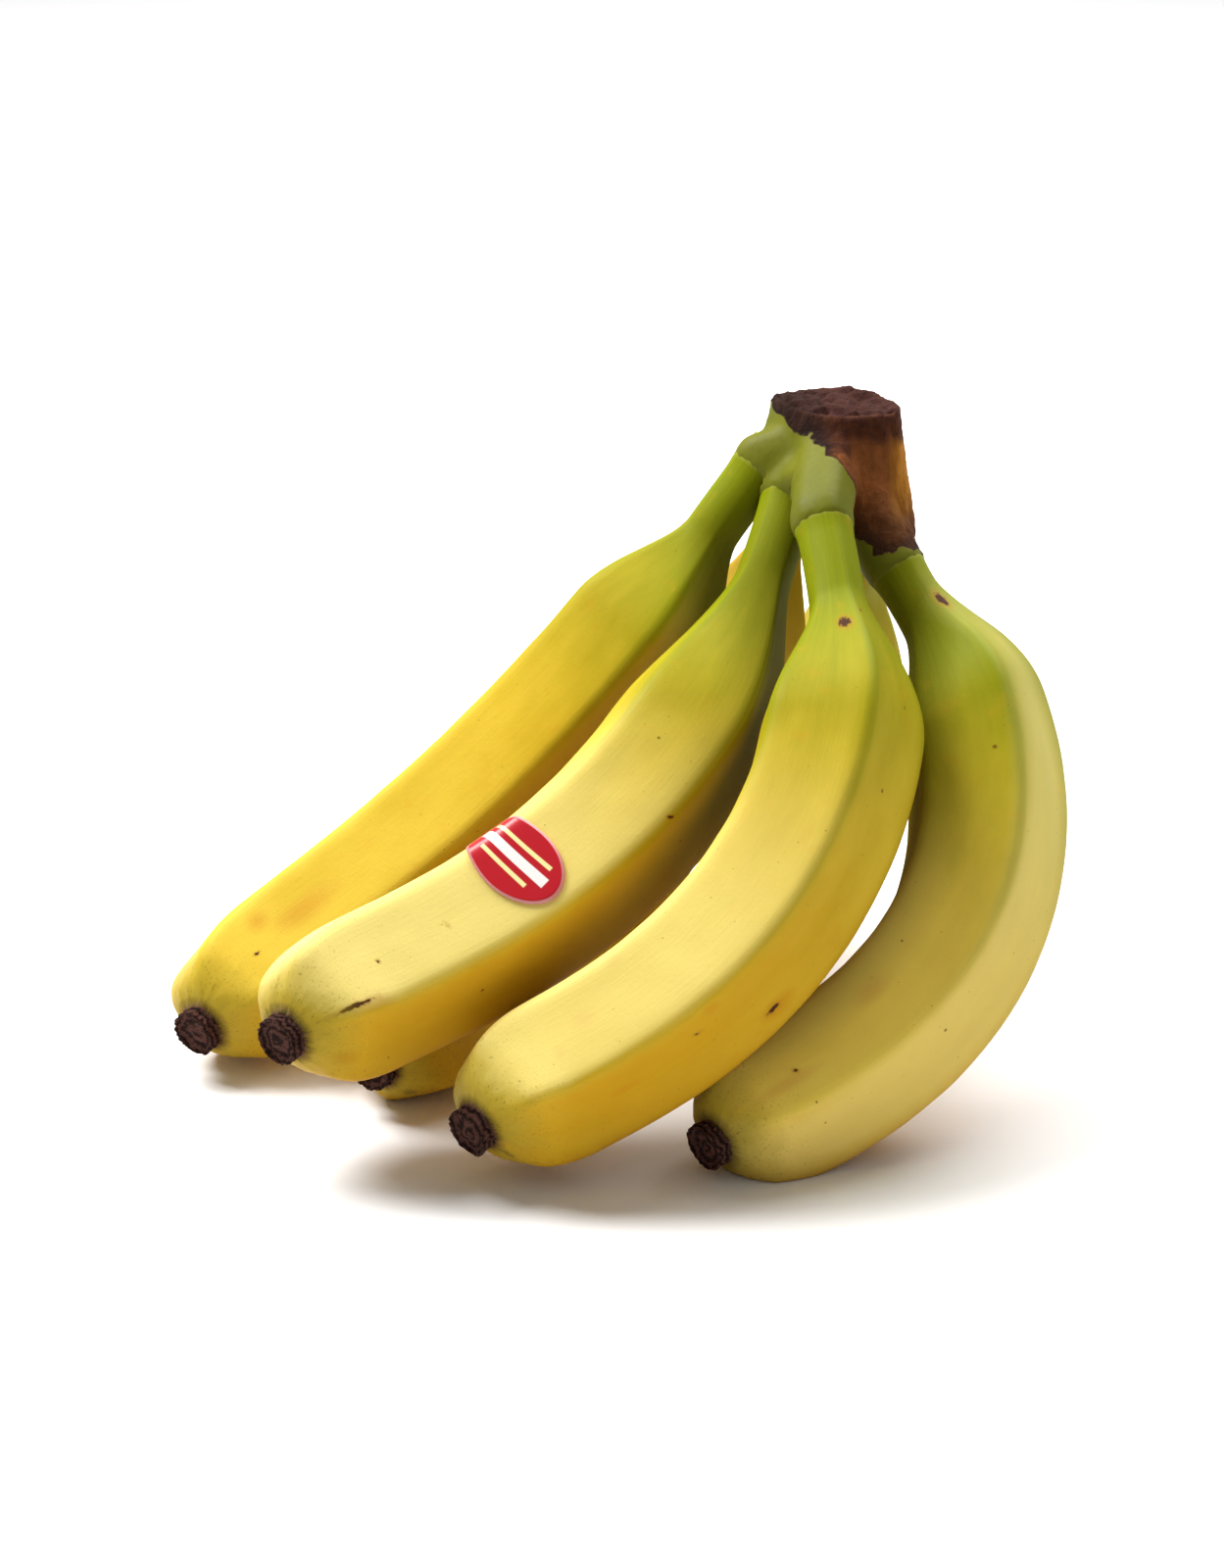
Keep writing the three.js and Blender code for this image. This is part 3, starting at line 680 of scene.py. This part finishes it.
def crown(material):
    bm = bmesh.new()
    bm.from_mesh(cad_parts["crown"].data)
    bmesh.ops.remove_doubles(bm, verts=bm.verts[:], dist=WELD)
    for first, second, radius in WEBS:
        first, second = np.array(FRUITS[first]["seat"]), np.array(FRUITS[second]["seat"])
        for share in WEB_STEPS:
            middle = first + (second - first) * share
            middle = middle + (STUMP_HEART - middle) * WEB_SAG + BUNCH_SHIFT
            bmesh.ops.create_icosphere(bm, subdivisions=3, radius=radius * MM,
                                       matrix=Matrix.Translation(middle * MM))
    piece = finished("crown_bark", bm, material, "crown")
    mesh = piece.data

    # one even, closed surface, with its corners softened
    remesh = piece.modifiers.new("even", "REMESH")
    remesh.mode, remesh.voxel_size = "VOXEL", VOXEL
    even = bpy.data.meshes.new_from_object(piece.evaluated_get(bpy.context.evaluated_depsgraph_get()))
    piece.modifiers.clear()
    bm = bmesh.new()
    bm.from_mesh(even)
    for _ in range(SMOOTH_PASSES):
        bmesh.ops.smooth_vert(bm, verts=bm.verts[:], factor=0.5, use_axis_x=True, use_axis_y=True,
                              use_axis_z=True)
    bmesh.ops.recalc_face_normals(bm, faces=bm.faces[:])
    bm.to_mesh(mesh)
    bm.free()
    bpy.data.meshes.remove(even)
    smooth_shaded(mesh)

    points = points_of(mesh) / MM - BUNCH_SHIFT
    normals = normals_of(mesh)
    x, y, z = points.T
    jagged = lumps(points, size=5, seed=3) * 3 + lumps(points, size=1.8, seed=5) * 1.5
    fibres = lumps(points * [1, 1, 0.12], size=1.6, seed=7)
    crumbs = lumps(points, size=1.5, seed=9)
    clods = lumps(points, size=4, seed=13)
    stem_in_front = (1 - fade(y, *FRONT_STEM_Y)) * (1 - fade(x, *FRONT_STEM_X))
    edge = np.interp(x, BARK_EDGE_X, BARK_EDGE_Z)
    bark = (z - edge + jagged) / BARK_SOFTNESS - FRONT_STEM_DROP * stem_in_front
    barked = smooth(bark)
    cut = fade(z, *CUT_HEIGHT) * fade(normals[:, 2], *CUT_LOOKS_UP)
    golden = fade(x, *GOLDEN_X) * (1 - fade(z, *GOLDEN_TOP)) * fade(z, *GOLDEN_FOOT)
    char = fade(z + CHAR_WANDER * clods, *CHAR_HEIGHT) * (CHAR_STRENGTH + CHAR_CRUMBS * crumbs)
    rim = fade(z, *RIM_HEIGHT)
    out = (1 - barked) * (PAD_OUT - STUB_IN * fade(along_stub(points), *STUB_DOWN))
    out = out + barked * (BARK_OUT + BARK_FIBRES * fibres + BARK_CRUMBS * crumbs + BARK_RIM * rim * clods)
    out = out + cut * (CUT_CRUMBS * crumbs + CUT_CLODS * clods - CUT_IN)
    points = points + normals * out[:, None]
    points[:, 2] = np.minimum(points[:, 2], TOP)
    set_points(mesh, (points + BUNCH_SHIFT) * MM)
    for key, values in {"bark": bark, "cut": cut, "golden": golden, "char": char}.items():
        store(mesh, key, values)


crown(crown_bark())

STICKER = dict(fruit="banana_2", along=121.0, around=-86.0, half_length=12.0, half_width=8.3, turn=80.0)
STICKER_ROWS = 10
STICKER_SIDES = 96
STICKER_TOP, STICKER_BACK = 0.6, 0.2  # millimetres above the fruit's even surface


def sticker(material):
    fruit = fruits[STICKER["fruit"]]
    bm = lathe(2 * STICKER_ROWS + 1, STICKER_SIDES)
    mesh = finished("sticker_oval", bm, material, "sticker").data
    raw = points_of(mesh)
    row, angle = raw[:, 2], np.arctan2(raw[:, 1], raw[:, 0])
    # 0 in the middle of each face, 1 at the rim
    middle_row = STICKER_ROWS + HALF_ROW
    share = np.clip((1 - np.abs(row - middle_row) / middle_row) * middle_row / STICKER_ROWS, 0, 1)
    across, up = share * np.cos(angle), share * np.sin(angle)
    long, wide = across * STICKER["half_length"], up * STICKER["half_width"]
    turn = math.radians(STICKER["turn"])
    s = STICKER["along"] + long * math.cos(turn) - wide * math.sin(turn)
    arc = long * math.sin(turn) + wide * math.cos(turn)
    around = math.radians(STICKER["around"]) + arc / fruit.radius
    lift = np.where(row > middle_row, STICKER_TOP, STICKER_BACK)
    reach = fruit.radius_at(s, around) * fruit.reach(around) + lift
    set_points(mesh, (fruit.place(s, around, reach) + BUNCH_SHIFT) * MM)
    bm = bmesh.new()
    bm.from_mesh(mesh)
    bmesh.ops.recalc_face_normals(bm, faces=bm.faces[:])
    bm.to_mesh(mesh)
    bm.free()
    store(mesh, "print", np.stack([across, up, 0 * share], -1))


sticker(sticker_paper())

FLOOR_HALF = 3.0
floor_bm = bmesh.new()
bmesh.ops.create_grid(floor_bm, x_segments=1, y_segments=1, size=FLOOR_HALF)
floor_mesh = bpy.data.meshes.new("studio_floor")
floor_bm.to_mesh(floor_mesh)
floor_bm.free()
floor = bpy.data.objects.new("studio_floor", floor_mesh)
bpy.context.collection.objects.link(floor)
pale = new_material("matt_white_floor")
pale_surface = add(pale, "BsdfPrincipled", {"Base Color": colour("#fbfbfb"), "Roughness": 0.9,
                                            "Specular IOR Level": 0.1})
add(pale, "OutputMaterial", {"Surface": pale_surface})
floor_mesh.materials.append(pale)

WORLD_STRENGTH = 0.28
world = bpy.data.worlds.new("studio")
bpy.context.scene.world = world
world.use_nodes = True
background = world.node_tree.nodes["Background"].inputs
background["Color"].default_value = (1, 1, 1, 1)
background["Strength"].default_value = WORLD_STRENGTH


def aimed(name, data, place, at):
    """A lamp or a camera in its place, turned to look at a point."""
    thing = bpy.data.objects.new(name, data)
    bpy.context.collection.objects.link(thing)
    thing.location = place
    thing.rotation_euler = (Vector(at) - thing.location).to_track_quat("-Z", "Y").to_euler()
    return thing


LIT_POINT = (0, 0, 0.06)


def soft_light(name, place, size, power):
    light = bpy.data.lights.new(name, "AREA")
    light.shape, light.size, light.energy = "DISK", size, power
    aimed(name, light, place, LIT_POINT)


soft_light("key", (-0.55, 0.25, 0.9), size=0.6, power=17)
soft_light("top", (0.3, 0.5, 0.9), size=1.0, power=14)

# 22 degrees above the table, a metre from the middle of the bunch
LENS, SENSOR_HEIGHT = 101.25, 36
camera_data = bpy.data.cameras.new("camera")
camera_data.sensor_fit, camera_data.sensor_height = "VERTICAL", SENSOR_HEIGHT
camera_data.lens = LENS
camera = aimed("camera", camera_data, (0.0, -0.9158, 0.4346), (0.0, 0.0114, 0.06))
bpy.context.scene.camera = camera
bpy.context.scene.view_settings.view_transform = "Standard"
